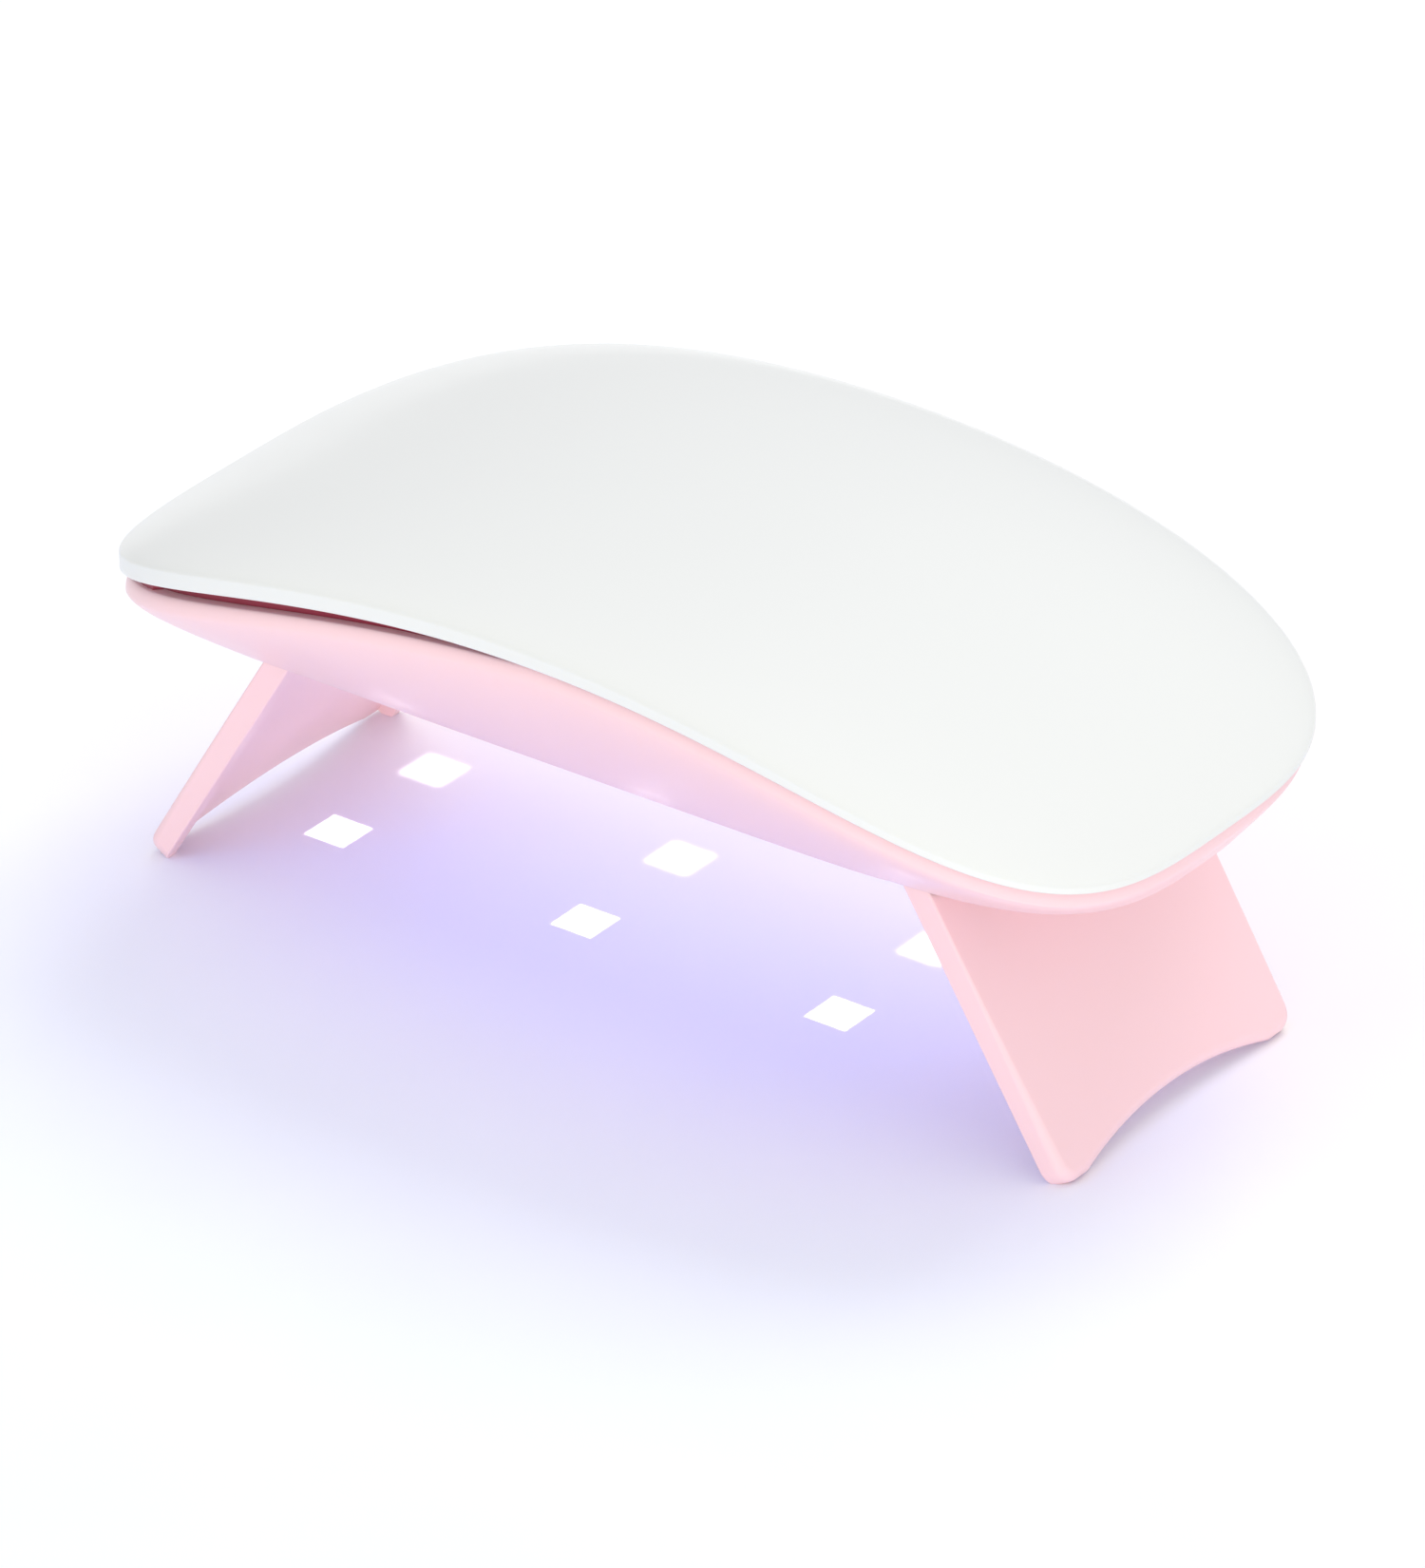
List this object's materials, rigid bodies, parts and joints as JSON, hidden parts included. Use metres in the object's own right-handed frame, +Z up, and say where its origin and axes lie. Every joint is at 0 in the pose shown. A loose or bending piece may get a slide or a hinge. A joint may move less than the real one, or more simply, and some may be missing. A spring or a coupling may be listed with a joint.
{
  "type": "uv led nail lamp",
  "caption": "Small arched UV LED nail curing lamp with a slanted base and two plate legs that fold flat under it; hand goes between the legs.",
  "frame": {"origin": "on the table, under the middle of the lamp's outline", "axes": "+X along the length away from the power inlet, +Y across the width, +Z up"},
  "size_m": [0.135, 0.071, 0.0554],
  "materials": {
    "white_gloss": "moulded, glossy",
    "pink_gloss": "moulded, satin gloss",
    "steel": "plated",
    "rose_rubber": "deep rose, moulded",
    "board_white": "white solder mask on aluminium",
    "board_green": "solder mask",
    "led_package": "moulded lamp package",
    "clear_lens": "clear moulded window",
    "black_plastic": "moulded",
    "ceramic_tan": "fired",
    "white_plain": "moulded",
    "wire_red": "extruded sleeve",
    "wire_black": "extruded sleeve"
  },
  "bodies": {
    "housing": {"top_cover": "white_gloss", "base_tray": "pink_gloss", "seam_ring": "rose_rubber", "hinge_pin_left": "steel", "hinge_pin_right": "steel", "hinge_bracket_left": "pink_gloss", "hinge_bracket_right": "pink_gloss", "hinge_screws": "steel", "cover_screws": "steel", "led_board": "board_white", "led_board_screws": "steel", "uv_led_1": "led_package", "uv_led_2": "led_package", "uv_led_3": "led_package", "uv_led_4": "led_package", "uv_led_5": "led_package", "uv_led_6": "led_package", "led_window_1": "clear_lens", "led_window_2": "clear_lens", "led_window_3": "clear_lens", "led_window_4": "clear_lens", "led_window_5": "clear_lens", "led_window_6": "clear_lens", "control_board": "board_green", "control_board_screws": "steel", "usb_socket": "steel", "usb_tongue": "black_plastic", "timer_chip": "black_plastic", "power_transistor": "black_plastic", "resistors": "black_plastic", "capacitor": "ceramic_tan", "switch_body": "black_plastic", "indicator_led": "led_package", "light_pipe": "clear_lens", "lead_red": "wire_red", "lead_black": "wire_black"},
    "leg_left": {"leg_left": "pink_gloss"},
    "leg_right": {"leg_right": "pink_gloss"},
    "button": {"power_button": "white_gloss", "switch_plunger": "white_plain"}
  },
  "joints": [
    {"name": "leg_left_fold", "type": "hinge", "parent": "housing", "child": "leg_left", "pos_m": [-0.0422, 0, 0.03175], "axis": [0, -1, 0], "range_deg": [0, 121.8]},
    {"name": "leg_right_fold", "type": "hinge", "parent": "housing", "child": "leg_right", "pos_m": [0.0422, 0, 0.03175], "axis": [0, 1, 0], "range_deg": [0, 121.8]},
    {"name": "button_press", "type": "slide", "parent": "housing", "child": "button", "axis": [1, 0, 0], "range_m": [0, 0.00035], "stiffness_N_per_m": 1500}
  ]
}
